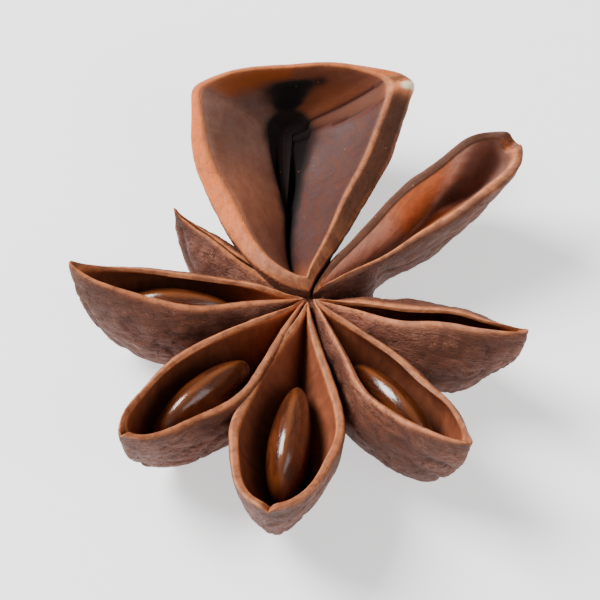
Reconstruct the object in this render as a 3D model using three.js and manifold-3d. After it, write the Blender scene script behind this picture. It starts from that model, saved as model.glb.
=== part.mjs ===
// A whole star anise pod: the dried, woody fruit of eight boat-shaped follicles round a short column,
// lying on its keels with the split mouths up, and the flat, glossy seeds that some follicles still hold.
// Units are millimetres and +Z is up. The floor is z = 0 and the origin is under the middle of the pod.

import * as THREE from "three";
import { mergeVertices } from "three/addons/utils/BufferGeometryUtils.js";
import Module from "manifold-3d";

const wasm = await Module();
wasm.setup();

// ---- Driving dimensions ----

const HUB_GAP = 0.25; // how far from the axis a follicle's inner edge stands
const WALL = 0.65; // thickness of a side wall
const END_WALL = 1.0; // thickness of the wall at the beak, low down
const END_LIP = 0.45; // the same at the lip
const KEEL_WALL = 0.95; // thickness under the cavity
const CAVITY_START = 1.35; // distance from the axis to the start of the cavity, at its bottom
const LIP_START = 1.0; // the same at the lip
const SHUT_BAND = 0.4; // width of the split face between a shut lip's two edges
const OPEN_BAND = 1.5; // the same on valves laid right back
const CLOSED_GAP = 0.07; // half the gap of a lip pair that has not opened
const SPLIT_SLANT = 80; // degrees that a closed lip's split face drops inwards
const BENT_SLANT = 25; // degrees that it drops outwards on valves laid right back
const RIGHT_FOLD = 0.2; // share by which the right one of those is folded in at its lip
const SLIT_TOP = 0.25; // share of the cavity's height that is a narrow slit in valves laid right back
const SLIT_RISE = 2; // how far the bottom of that slit climbs to the beak
const REST_CUT = 0.4; // how deep the floor is pressed into the keels, which gives them flat spots
const WEB_REACH = 6.2; // distance from the axis to which neighbours are fused
const WEB_SLOPE = 0.55; // half width of a fused flank for each millimetre from the axis
const MIDDLE_HEIGHT = 3; // height of the line about which a follicle leans
const CLEAR = 1.2; // how far a cavity's cutting solid stands over its lips

const AROUND = 32; // points round a loop
const OUTER_LOOPS = 9; // loops from keel to lip
const INNER_LOOPS = 6; // loops from lip to the bottom of the cavity

// The follicles, anticlockwise from +X. turn: direction in degrees. length: from the axis to the beak.
// half: half width at the widest. open: from 0 (shut) to 1 (valves laid right back). peak: share of the
// length at which it is widest. side: about 1.3 for straight sides, less for fuller ones. skew: how much
// fuller the left side is. nose: lower for a blunter end. crisp: sharpness of the corner between side and
// end. hub: height of the lips at the hub. tip: height of the beak. bend: sideways sweep of the beak.
// roll: lean of the mouth in degrees. lift: height of the keel over the floor. lean: how far the keel lies
// to the left of the lips' middle. shallow: how much higher its cavity ends than the others do, if any.
// seed: share of the length at which the seed's middle lies, if any.
const FOLLICLES = [
  {
    turn: 52, length: 15.2, half: 2.2, open: 0.82, peak: 0.87, side: 1.05, skew: 0.33, nose: 0.34, crisp: 6,
    hub: 6.1, tip: 8.0, bend: -0.45, roll: 10, lift: 0, lean: 0.5, shallow: 2,
  },
  {
    turn: 102, length: 15.3, half: 6.4, open: 1, peak: 0.93, side: 0.9, skew: 0.26, nose: 0.34, crisp: 16,
    hub: 6.3, tip: 7.4, bend: -0.4, roll: 2, lift: 0, lean: 0.9,
  },
  {
    turn: 153, length: 9.4, half: 1.8, open: 0, peak: 0.5, side: 1.2, skew: 0, nose: 0.6, crisp: 2.5,
    hub: 5.2, tip: 6.6, bend: 0.5, roll: 8, lift: 1.8, lean: 0,
  },
  {
    turn: 189, length: 13.6, half: 2.8, open: 0.36, peak: 0.58, side: 1.35, skew: -0.1, nose: 0.6, crisp: 2.5,
    hub: 6.0, tip: 8.2, bend: -0.5, roll: 5, lift: 0, lean: 0, seed: 0.56,
  },
  {
    turn: 230, length: 14.7, half: 3.3, open: 0.62, peak: 0.63, side: 1.35, skew: 0.1, nose: 0.55, crisp: 3,
    hub: 6.15, tip: 7.9, bend: 0.4, roll: -3, lift: 0, lean: 0, seed: 0.58,
  },
  {
    turn: 271, length: 15.2, half: 3.9, open: 0.8, peak: 0.68, side: 1.3, skew: -0.12, nose: 0.52, crisp: 4,
    hub: 6.05, tip: 7.7, bend: -0.3, roll: 2, lift: 0, lean: 0, seed: 0.57,
  },
  {
    turn: 313, length: 14.1, half: 3.0, open: 0.5, peak: 0.61, side: 1.35, skew: 0.1, nose: 0.58, crisp: 3,
    hub: 6.2, tip: 8.3, bend: 0.5, roll: -5, lift: 0, lean: 0, seed: 0.57,
  },
  {
    turn: 355, length: 12.8, half: 2.5, open: 0.14, peak: 0.57, side: 1.25, skew: 0, nose: 0.62, crisp: 2.5,
    hub: 5.95, tip: 8.4, bend: -0.6, roll: 3, lift: 0.4, lean: 0,
  },
];

const COLUMN = { topRadius: 0.8, radius: 1.5, top: 5.6, footRadius: 2.5, base: 2.5 };
const STALK = { radius: 0.95, end: 0.6, sides: 16 };
const SEED = { length: 7.5, width: 4.9, thickness: 2.6, clearance: 0.3, around: 16, stacks: 10 };

// ---- Small helpers ----

const radians = THREE.MathUtils.degToRad;
const lerp = THREE.MathUtils.lerp;
const smoothstep = THREE.MathUtils.smoothstep;

/** Uneven swelling of dried wood: a smooth, repeatable value from -1 to 1 at a point in space. */
function swelling(x, y, z, seed) {
  const a = Math.sin(0.9 * x + 1.3 * y + 0.7 * z + 1.7 * seed);
  const b = Math.sin(1.7 * x - 1.1 * y + 1.9 * z + 2.9 * seed);
  return 0.6 * a + 0.4 * b;
}

/** A closed geometry as a manifold-3d solid. */
function solidOf(geometry) {
  const bare = geometry.index ? geometry.toNonIndexed() : geometry.clone();
  bare.deleteAttribute("normal");
  bare.deleteAttribute("uv");
  const merged = mergeVertices(bare, 1e-4);
  return new wasm.Manifold(
    new wasm.Mesh({
      numProp: 3,
      vertProperties: new Float32Array(merged.attributes.position.array),
      triVerts: new Uint32Array(merged.index.array),
    }),
  );
}

/** A manifold-3d solid as a three.js geometry with flat facets. */
function geometryOf(solid) {
  const mesh = solid.getMesh();
  const places = new Float32Array(mesh.numVert * 3);
  for (let i = 0; i < mesh.numVert; i++)
    places.set(mesh.vertProperties.subarray(i * mesh.numProp, i * mesh.numProp + 3), i * 3);
  const geometry = new THREE.BufferGeometry();
  geometry.setAttribute("position", new THREE.BufferAttribute(places, 3));
  geometry.setIndex(new THREE.BufferAttribute(mesh.triVerts, 1));
  geometry.computeVertexNormals();
  return geometry;
}

/** Closed loops of equal point count, joined in order and shut by a pole at each end. */
function skinOf(loops, firstPole, lastPole) {
  const count = loops[0].length;
  const places = [firstPole, ...loops.flat(), lastPole].flat();
  const last = loops.length * count + 1;
  const faces = [];
  const at = (loop, i) => 1 + loop * count + (i % count);
  for (let i = 0; i < count; i++) {
    faces.push(0, at(0, i), at(0, i + 1));
    faces.push(last, at(loops.length - 1, i + 1), at(loops.length - 1, i));
    for (let loop = 0; loop + 1 < loops.length; loop++) {
      faces.push(at(loop, i), at(loop + 1, i + 1), at(loop, i + 1));
      faces.push(at(loop, i), at(loop + 1, i), at(loop + 1, i + 1));
    }
  }
  const geometry = new THREE.BufferGeometry();
  geometry.setAttribute("position", new THREE.Float32BufferAttribute(places, 3));
  geometry.setIndex(faces);
  return geometry;
}

// ---- One follicle ----

/** Plan at angle u of a loop: reach, 0 at the hub and 1 at the beak, and the signed share of the half width. */
function plan(u, f, nose, crisp) {
  const left = Math.sign(Math.cos(u / 2));
  const reach = Math.sin(u / 2) ** 2;
  const side = Math.sin((Math.PI / 2) * Math.min(reach / f.peak, 1) ** (f.side - left * f.skew));
  const end = ((1 - reach) / (1 - f.peak)) ** nose;
  const width = ((side ** -crisp + end ** -crisp) / 2) ** (-1 / crisp);
  return { reach, across: reach > 0 && reach < 1 ? left * width : 0 };
}

/** Angles from one to another, the last left out, whose plan points are evenly spaced along the lip. */
function evenAngles(f, from, to, count) {
  const steps = 400;
  const angles = [];
  const run = [0];
  for (let i = 0; i <= steps; i++) angles.push(lerp(from, to, i / steps));
  const spots = angles.map((u) => plan(u, f, f.nose, f.crisp));
  for (let i = 1; i <= steps; i++) {
    const along = f.length * (spots[i].reach - spots[i - 1].reach);
    const across = f.half * (spots[i].across - spots[i - 1].across);
    run.push(run[i - 1] + Math.hypot(along, across));
  }
  const chosen = [];
  let next = 0;
  for (let k = 0; k < count; k++) {
    while (run[next] < (run[steps] * k) / count) next++;
    chosen.push(angles[next]);
  }
  return chosen;
}

/** Angles round a loop, with one at each corner, at the hub and at the beak. */
function loopAngles(f) {
  const corner = 2 * Math.asin(Math.sqrt(f.peak));
  const endShare = (0.55 * f.half + (1 - f.peak) * f.length) / (f.half + f.length);
  const end = Math.max(4, Math.round((AROUND / 2) * endShare));
  const side = AROUND / 2 - end;
  return [
    ...evenAngles(f, 0, corner, side),
    ...evenAngles(f, corner, Math.PI, end),
    ...evenAngles(f, Math.PI, 2 * Math.PI - corner, end),
    ...evenAngles(f, 2 * Math.PI - corner, 2 * Math.PI, side),
  ];
}

/** Share of the half width at height share h of the outer skin: shut valves draw in to the suture again. */
function girth(h, open) {
  const shut = h < 1 ? Math.sin(Math.PI * h ** 0.8) ** 0.75 : 0;
  const round = 0.5 * h ** 0.75 + 0.5 * Math.sin((Math.PI / 2) * h ** 0.8) ** 0.8;
  return lerp(shut, lerp(round, h ** 0.85, open), open);
}

/**
 * The same for the lining, where share of the width is open at the lip. Laid right back it is a narrow slit,
 * wider where the seed sat, with a flat slope on each side above it.
 */
function liningGirth(f, h, share, reach) {
  const shut = h < 1 ? Math.sin(Math.PI * h ** 0.85) ** 0.7 : 0;
  const round = 0.5 * h ** 0.75 + 0.5 * Math.sin((Math.PI / 2) * h ** 0.8) ** 0.8;
  const pit = 0.06 + 0.16 * smoothstep(reach, 0.3, 0.95);
  const slit = pit * Math.min(h / 0.1, 1) ** 0.5;
  const valley = slit + (1 - pit) * Math.max(0, (h - SLIT_TOP) / (1 - SLIT_TOP));
  const bowl = lerp(shut, lerp(round, valley, share ** 3), share);
  return lerp(bowl, share * valley, f.open ** 8);
}

/** How near a reach is to the corner of a valve laid right back, 0 to 1: the split face is narrow there. */
function cornerShare(f, reach) {
  return f.open ** 8 * smoothstep(reach, 0.45 * f.peak, f.peak);
}

/** Height of the lip at a reach: it climbs to the beak, and sags where the valves lie back. */
function lipHeight(f, reach) {
  const sag = 0.9 * f.open * Math.sin(Math.PI * Math.min(reach, 1)) ** 1.5;
  return f.hub + (f.tip - f.hub) * reach ** 1.3 - sag;
}

/** Half width of the flank by which a follicle is fused to its neighbours, below their lips. */
function web(x, h) {
  return WEB_SLOPE * x * (1 - smoothstep(x, 0.4 * WEB_REACH, WEB_REACH)) * Math.sin(Math.PI * h) ** 0.4;
}

/** A point of the outer skin: u runs round the loop and h is the share of the height from keel to lip. */
function outerPoint(f, u, h) {
  const { reach, across } = plan(u, f, lerp(0.8, f.nose, h), lerp(2.5, f.crisp, h ** 3));
  const heel = h < 0.42 ? 0.4 * (1 - h / 0.42) ** 1.2 : 0;
  const foot = lerp(0.6, 0.8, f.open ** 4);
  const prow = foot + (1 - foot) * (1 - (1 - h) ** 2.4) ** 0.75;
  const along = lerp(heel, prow, reach);
  const beak = Math.exp(-(((u - Math.PI) / 0.25) ** 2)) * h ** 5 * (1 - 0.8 * f.open ** 8);
  const bottom = f.lift - REST_CUT;
  const x = HUB_GAP + (f.length - HUB_GAP) * along + 0.35 * beak;
  const own = f.half * girth(h, f.open) * Math.abs(across) + CLOSED_GAP;
  const half = (own ** 4 + web(x, h) ** 4) ** 0.25;
  const y = half * Math.sign(across) + f.lean * (1 - h);
  return [x, y, bottom + h * (lipHeight(f, along) - bottom) + 0.45 * beak];
}

/** Slant, width and drop of the split face, and the share of the cavity's width that is open at its lip. */
function lipOf(f) {
  const slant = radians(SPLIT_SLANT * (1 - f.open) - BENT_SLANT * f.open ** 4);
  const band = lerp(SHUT_BAND, OPEN_BAND, f.open ** 8);
  const mouth = Math.max(0.03, f.half * f.open - band * Math.cos(slant));
  return { drop: band * Math.sin(slant), share: Math.min(1, mouth / (f.half - WALL)) };
}

/** Height of the lowest point of a follicle's cavity. */
function cavityBottom(f) {
  return f.lift + KEEL_WALL + (f.shallow ?? 0);
}

/** A point of the cavity's lining, h = 1 at the inner edge of the lip and 0 at the cavity's bottom. */
function innerPoint(f, u, h) {
  const { drop, share } = lipOf(f);
  const { reach, across } = plan(u, f, f.nose, f.crisp);
  const heel = 0.28 * (1 - h) ** 1.5;
  const foot = lerp(0.74, 0.97, f.open ** 8);
  const prow = foot + (1 - foot) * (1 - (1 - h) ** 2.6) ** 0.75;
  const start = lerp(CAVITY_START, LIP_START, h ** 3);
  const end = f.length - lerp(END_WALL, END_LIP, h ** 3);
  const x = start + (end - start) * lerp(heel, prow, reach);
  const bottom = cavityBottom(f) + SLIT_RISE * f.open ** 8 * smoothstep(reach, 0.55, 1);
  const edge = lipHeight(f, x / f.length) - drop;
  const widest = (f.half - WALL) * (1 + 0.18 * cornerShare(f, reach) * h ** 2);
  const fold = across < 0 ? RIGHT_FOLD * f.open ** 8 * h ** 4 : 0;
  const half = (1 - fold) * widest * liningGirth(f, h, share, reach) * Math.abs(across) + 0.5 * CLOSED_GAP;
  return [x, half * Math.sign(across) + f.lean * (1 - h), bottom + h * (edge - bottom)];
}

/** Sweeps, rolls and turns a follicle's own point into the pod's place for it, with the wood's unevenness. */
function placed(f, [x, y, z], uneven) {
  const share = x / f.length;
  const swept = y + f.bend * share ** 2 + uneven * 0.15 * swelling(0.6 * x, 0.4 * y, 0.5 * z, f.turn);
  const roll = radians(f.roll) * share;
  const arm = z - MIDDLE_HEIGHT;
  const across = swept * Math.cos(roll) - arm * Math.sin(roll);
  const leant = MIDDLE_HEIGHT + swept * Math.sin(roll) + arm * Math.cos(roll);
  const high = leant + uneven * 0.12 * swelling(0.8 * x, y, 0.6 * z, f.turn + 3) * share;
  const turn = radians(f.turn);
  return [
    x * Math.cos(turn) - across * Math.sin(turn),
    x * Math.sin(turn) + across * Math.cos(turn),
    Math.max(high, 0),
  ];
}

/** A loop between two others: b's share is t. */
function between(a, b, t) {
  return a.map((point, i) => point.map((value, k) => lerp(value, b[i][k], t)));
}

/** The follicle before it is hollowed: its outer skin, and a top that falls in from the lip's outer edge. */
function bodySolid(f) {
  const angles = loopAngles(f);
  const loops = [];
  for (let k = 1; k <= OUTER_LOOPS; k++)
    loops.push(angles.map((u) => outerPoint(f, u, (k / OUTER_LOOPS) ** 1.35)));
  const lip = angles.map((u) => innerPoint(f, u, 1));
  loops.push(between(loops[OUTER_LOOPS - 1], lip, 1.3));
  const heart = [0.5 * f.length, 0, lipHeight(f, 0.5) - lipOf(f).drop - 0.5];
  const put = (point) => placed(f, point, 1);
  const keel = [0.49 * f.length, f.lean, f.lift - REST_CUT];
  return solidOf(skinOf(loops.map((loop) => loop.map(put)), put(keel), put(heart)));
}

/** The solid that hollows it: the cavity's lining, carried on upwards past the lips. */
function cavitySolid(f) {
  const angles = loopAngles(f);
  const loops = [];
  for (let k = 1; k <= INNER_LOOPS; k++)
    loops.push(angles.map((u) => innerPoint(f, u, (k / INNER_LOOPS) ** 1.3)));
  const { drop } = lipOf(f);
  loops.push(loops[INNER_LOOPS - 1].map(([x, y, z]) => [x, y, z + drop + CLEAR]));
  const put = (point) => placed(f, point, 1);
  const bottom = [0.5 * f.length, f.lean, cavityBottom(f)];
  const roof = [0.5 * f.length, 0, lipHeight(f, 0.5) + CLEAR];
  return solidOf(skinOf(loops.map((loop) => loop.map(put)), put(bottom), put(roof)));
}

// ---- Column, stalk and seeds ----

/** The woody column that the follicles stand round, with the broken stub of the stalk under it. */
function columnSolid() {
  const profile = [
    new THREE.Vector2(0, STALK.end + 0.15),
    new THREE.Vector2(0.6 * STALK.radius, STALK.end),
    new THREE.Vector2(STALK.radius, STALK.end + 0.1),
    new THREE.Vector2(STALK.radius, COLUMN.base - 0.9),
    new THREE.Vector2(0.7 * COLUMN.footRadius, COLUMN.base - 0.2),
    new THREE.Vector2(COLUMN.footRadius, COLUMN.base + 0.4),
    new THREE.Vector2(COLUMN.radius, COLUMN.base + 2),
    new THREE.Vector2(0.5 * (COLUMN.radius + COLUMN.topRadius), COLUMN.top - 0.5),
    new THREE.Vector2(COLUMN.topRadius, COLUMN.top),
    new THREE.Vector2(0, COLUMN.top - 0.25),
  ];
  return solidOf(new THREE.LatheGeometry(profile, STALK.sides).rotateX(Math.PI / 2));
}

/** A flat, oval seed standing on its edge in its follicle, with its narrow end to the hub. */
function seedGeometry(f) {
  const geometry = new THREE.SphereGeometry(1, SEED.around, SEED.stacks).rotateZ(Math.PI / 2);
  const spots = geometry.attributes.position;
  const middle = f.seed * f.length;
  const height = cavityBottom(f) + SEED.clearance + SEED.width / 2;
  for (let i = 0; i < spots.count; i++) {
    const x = spots.getX(i);
    const narrow = 1 - 0.12 * (1 - x) ** 2 * 0.5;
    const own = [
      middle + (SEED.length / 2) * x,
      (SEED.thickness / 2) * spots.getY(i) * narrow,
      height + (SEED.width / 2) * spots.getZ(i) * narrow,
    ];
    spots.setXYZ(i, ...placed(f, own, 0));
  }
  return geometry;
}

// ---- The pod ----

const woodMaterial = new THREE.MeshStandardMaterial({ color: 0x8a5038, roughness: 0.7, metalness: 0 });
const seedMaterial = new THREE.MeshStandardMaterial({ color: 0x5a2a14, roughness: 0.2, metalness: 0 });

/** The follicles joined to the column, the shut ones first: the open ones lap over their neighbours. */
function podMesh() {
  const order = [...FOLLICLES].sort((a, b) => a.open - b.open);
  const joined = order.reduce((whole, f) => whole.add(bodySolid(f)).subtract(cavitySolid(f)), columnSolid());
  const mesh = new THREE.Mesh(geometryOf(joined), woodMaterial);
  mesh.name = "pod";
  return mesh;
}

const starAnise = new THREE.Group();
starAnise.add(podMesh());
FOLLICLES.filter((f) => f.seed).forEach((f, i) => {
  const mesh = new THREE.Mesh(seedGeometry(f), seedMaterial);
  mesh.name = `seed_${i + 1}`;
  starAnise.add(mesh);
});

// The origin is moved under the middle of the pod's outline.
const middle = new THREE.Box3().setFromObject(starAnise).getCenter(new THREE.Vector3());
starAnise.position.set(-middle.x, -middle.y, 0);

export default starAnise;
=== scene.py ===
"""Visual model of a whole star anise pod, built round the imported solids.

The pod is a ring of woody, boat-shaped follicles that stand round a short column. Each follicle is one
closed skin: a wrinkled outside, a split face along the lip, and a smooth lining. The skins are joined to
the column in order, the shut ones first, so that the open ones lap over their neighbours. Glossy seeds lie
in some of them.
All shapes are worked out in millimetres round the pod's axis and written in metres in the row frame.
"""

from __future__ import annotations

import logging
import math
from dataclasses import dataclass
from enum import Enum

import bpy
import numpy as np
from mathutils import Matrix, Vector

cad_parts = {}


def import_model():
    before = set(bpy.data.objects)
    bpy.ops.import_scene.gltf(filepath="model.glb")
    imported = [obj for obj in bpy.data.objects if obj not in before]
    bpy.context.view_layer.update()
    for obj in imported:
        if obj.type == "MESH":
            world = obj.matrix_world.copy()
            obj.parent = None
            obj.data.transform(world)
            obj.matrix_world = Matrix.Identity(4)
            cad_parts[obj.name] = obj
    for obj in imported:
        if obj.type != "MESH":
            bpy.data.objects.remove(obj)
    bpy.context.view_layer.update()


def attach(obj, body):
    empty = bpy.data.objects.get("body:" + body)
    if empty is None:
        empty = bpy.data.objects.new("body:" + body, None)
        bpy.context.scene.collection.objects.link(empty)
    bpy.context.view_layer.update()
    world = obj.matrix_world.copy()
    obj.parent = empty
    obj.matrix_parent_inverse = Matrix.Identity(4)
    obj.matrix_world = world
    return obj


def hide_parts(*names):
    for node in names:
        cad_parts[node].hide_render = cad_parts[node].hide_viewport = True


logging.basicConfig(level=logging.INFO, format="%(message)s")
LOG = logging.getLogger("star_anise")

Array = np.ndarray
Triple = tuple[float, float, float]

MM = 0.001  # a millimetre in metres
HUB = (0.4728, -0.1061)  # the pod's axis in the row frame, in millimetres

# The pod's driving dimensions, as in the solids: in millimetres where nothing else is said.
HUB_GAP = 0.25  # how far from the axis a follicle's inner edge stands
WALL = 0.65  # thickness of a side wall
END_WALL = 1.0  # thickness of the wall at the beak, low down
END_LIP = 0.45  # the same at the lip
KEEL_WALL = 0.95  # thickness under the cavity
CAVITY_START = 1.35  # distance from the axis to the start of the cavity, at its bottom
LIP_START = 1.0  # the same at the lip
SHUT_BAND = 0.4  # width of the split face between a shut lip's two edges
OPEN_BAND = 1.5  # the same on valves laid right back
CLOSED_GAP = 0.07  # half the gap of a lip pair that has not opened
SPLIT_SLANT = 80.0  # degrees that a closed lip's split face drops inwards
BENT_SLANT = 25.0  # degrees that it drops outwards on valves laid right back
RIGHT_FOLD = 0.2  # share by which the right one of those is folded in at its lip
SLIT_TOP = 0.25  # share of the cavity's height that is a narrow slit in valves laid right back
SLIT_RISE = 2.0  # how far the bottom of that slit climbs to the beak
REST_CUT = 0.4  # how deep the floor is pressed into the keels
WEB_REACH = 6.2  # distance from the axis to which neighbours are fused
WEB_SLOPE = 0.55  # half width of a fused flank for each millimetre from the axis
MIDDLE_HEIGHT = 3.0  # height of the line about which a follicle leans
CLEAR = 1.2  # how far a cavity's clearing solid stands over its lips

# Numbers that scatter the noise's lattice places evenly, and half the range of a scattered number.
SCATTER = (374761393, 668265263, 1440662683)
SEED_SCATTER = 1274126177
STIR = (1103515245, 12345)
LAST_STIR = 2654435761
LOW_BITS = 0xFFFFFFFF
HALF_RANGE = 2147483647.5

FINE_STEPS = 2000  # steps in which the length along part of a loop is measured
CLEARING_LOOPS = 14  # loops of the solid that clears a cavity
CLEAR_MARGIN = 0.06  # how far that solid is grown past the lining
SHARP_ANGLE = 50.0  # degrees between two faces over which their shared edge is drawn sharp
FLOOR_REACH = 3.0  # half the width of the floor, in metres


# ---- Numbers and noise ----


def lerp(a: float | Array, b: float | Array, t: float | Array) -> float | Array:
    """Value that goes from a to b as t goes from 0 to 1."""
    return a + (b - a) * t


def smoothstep(x: float | Array, low: float, high: float) -> Array:
    """S-curve: 0 below low, 1 above high, and 3t squared minus 2t cubed between them."""
    t = np.clip((np.asarray(x, dtype=float) - low) / (high - low), 0.0, 1.0)
    return t * t * (3.0 - 2.0 * t)


def bell(x: float | Array, middle: float, width: float) -> Array:
    """Bell curve: the exponential of minus the square of the distance from the middle over the width."""
    return np.exp(-(((np.asarray(x, dtype=float) - middle) / width) ** 2))


def stacked(*parts: float | Array) -> Array:
    """Vectors from their parts, which are stretched to one shape first."""
    return np.stack(np.broadcast_arrays(*parts), axis=-1)


def lattice_noise(points: Array, seed: int) -> Array:
    """Smooth noise from random values at whole-number lattice points, blended by an S-curve along each axis.

    Args:
        points: places, shape (..., 3), one lattice cell to a unit.
        seed: picks the pattern.

    Returns:
        Values from -1 to 1, shape (...).
    """
    cell = np.floor(points).astype(np.int64)
    part = smoothstep(points - cell, 0.0, 1.0)
    total = np.zeros(points.shape[:-1])
    for corner in range(8):
        step = np.array([corner & 1, (corner >> 1) & 1, (corner >> 2) & 1])
        place = cell + step
        mixed = place @ np.array(SCATTER) + seed * SEED_SCATTER
        mixed = (mixed ^ (mixed >> 13)) & LOW_BITS
        mixed = (mixed * STIR[0] + STIR[1]) & LOW_BITS
        mixed = ((mixed ^ (mixed >> 16)) * LAST_STIR) & LOW_BITS
        total += (mixed / HALF_RANGE - 1.0) * np.prod(np.where(step == 1, part, 1.0 - part), axis=-1)
    return total


def layered_noise(points: Array, seed: int, layers: int = 3) -> Array:
    """Sum of noise layers, each at twice the last one's frequency and half its strength.

    Args:
        points: places, shape (..., 3).
        seed: picks the pattern.
        layers: how many there are.

    Returns:
        Values from -1 to 1, shape (...).
    """
    total = np.zeros(points.shape[:-1])
    for layer in range(layers):
        total += 0.5**layer * lattice_noise(points * 2.0**layer + 17.3 * layer, seed + 31 * layer)
    return total / (2.0 - 2.0 ** (1 - layers))


def swelling(x: Array, y: Array, z: Array, seed: float) -> Array:
    """Low, even swelling of the dried wood: two crossed sine waves.

    Args:
        x, y, z: coordinates, in millimetres.
        seed: shifts the waves.

    Returns:
        Values from -1 to 1.
    """
    a = np.sin(0.9 * x + 1.3 * y + 0.7 * z + 1.7 * seed)
    b = np.sin(1.7 * x - 1.1 * y + 1.9 * z + 2.9 * seed)
    return 0.6 * a + 0.4 * b


# ---- Closed skins ----


@dataclass
class Skin:
    """A closed skin: loops of points from one pole to another, with values for the material.

    Attributes:
        grid: points in millimetres, shape (loops, points round a loop, 3).
        poles: the two end points, shape (2, 3).
        values: for each attribute name, an array of shape (loops, points, 3).
    """

    grid: Array
    poles: Array
    values: dict[str, Array]

    def normals(self) -> Array:
        """Outward unit normals: the step from loop to loop crossed with the step round the loop.

        Returns:
            One for each point, shape (loops, points, 3).
        """
        along = np.gradient(self.grid, axis=0)
        around = np.roll(self.grid, -1, axis=1) - np.roll(self.grid, 1, axis=1)
        normal = np.cross(along, around)
        return normal / np.maximum(np.linalg.norm(normal, axis=-1, keepdims=True), 1e-9)

    def faces(self) -> tuple[Array, Array]:
        """Faces between the loops and at the poles.

        Returns:
            The corners of all faces, quads first and then triangles, and each face's number of corners.
        """
        loops, count, _ = self.grid.shape
        index = 1 + np.arange(loops * count).reshape(loops, count)
        right = np.roll(index, -1, axis=1)
        last = np.full(count, loops * count + 1)
        quads = np.stack([index[:-1], index[1:], right[1:], right[:-1]], axis=-1).reshape(-1)
        start_fan = np.stack([np.zeros(count, dtype=int), index[0], right[0]], axis=-1).reshape(-1)
        end_fan = np.stack([last, right[-1], index[-1]], axis=-1).reshape(-1)
        sizes = np.concatenate([np.full((loops - 1) * count, 4), np.full(2 * count, 3)])
        return np.concatenate([quads, start_fan, end_fan]), sizes

    def build(self, name: str) -> bpy.types.Object:
        """Makes the skin's object, in metres, with smooth shading and its values at the face corners.

        Args:
            name: the object's name.

        Returns:
            The object, linked to the scene.
        """
        places = np.concatenate([self.poles[:1], self.grid.reshape(-1, 3), self.poles[1:]]) * MM
        corners, sizes = self.faces()
        mesh = bpy.data.meshes.new(name)
        mesh.vertices.add(len(places))
        mesh.vertices.foreach_set("co", places.astype(np.float32).ravel())
        mesh.loops.add(len(corners))
        mesh.loops.foreach_set("vertex_index", corners.astype(np.int32))
        mesh.polygons.add(len(sizes))
        starts = np.concatenate([[0], np.cumsum(sizes)[:-1]])
        mesh.polygons.foreach_set("loop_start", starts.astype(np.int32))
        mesh.polygons.foreach_set("use_smooth", np.ones(len(sizes), dtype=bool))
        mesh.update(calc_edges=True)
        for key, value in self.values.items():
            flat = value.reshape(-1, 3)
            ends = value[0].mean(0)[None], value[-1].mean(0)[None]
            layer = mesh.attributes.new(key, "FLOAT_VECTOR", "CORNER")
            whole = np.concatenate([ends[0], flat, ends[1]])
            layer.data.foreach_set("vector", whole[corners].astype(np.float32).ravel())
        thing = bpy.data.objects.new(name, mesh)
        bpy.context.scene.collection.objects.link(thing)
        return thing


def blend_loops(grid: Array, weight: Array, rounds: int) -> Array:
    """Rounds the corners between loops: each loop moves towards the mean of the two beside it.

    Args:
        grid: points, shape (loops, points, 3).
        weight: how far each loop moves, from 0 to 1.
        rounds: how often they move.

    Returns:
        The rounded points.
    """
    for _ in range(rounds):
        mean = grid.copy()
        mean[1:-1] = 0.5 * (grid[:-2] + grid[2:])
        grid = lerp(grid, mean, weight[:, None, None])
    return grid


class Joining(Enum):
    """How one solid is joined to another."""

    ADD = "UNION"
    CUT = "DIFFERENCE"


def join_solid(whole: bpy.types.Object, part: bpy.types.Object, how: Joining) -> None:
    """Adds a closed skin to another one, or cuts it out of it, and removes it.

    Args:
        whole: the skin that is changed.
        part: the skin that is used up.
        how: whether it is added or cut out.
    """
    step = whole.modifiers.new("join", "BOOLEAN")
    step.operation = how.value
    step.solver = "MANIFOLD"
    step.object = part
    graph = bpy.context.evaluated_depsgraph_get()
    mesh = bpy.data.meshes.new_from_object(whole.evaluated_get(graph), depsgraph=graph)
    whole.modifiers.clear()
    old, whole.data = whole.data, mesh
    bpy.data.meshes.remove(old)
    spent = part.data
    bpy.data.objects.remove(part)
    bpy.data.meshes.remove(spent)


# ---- Follicles ----


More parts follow.
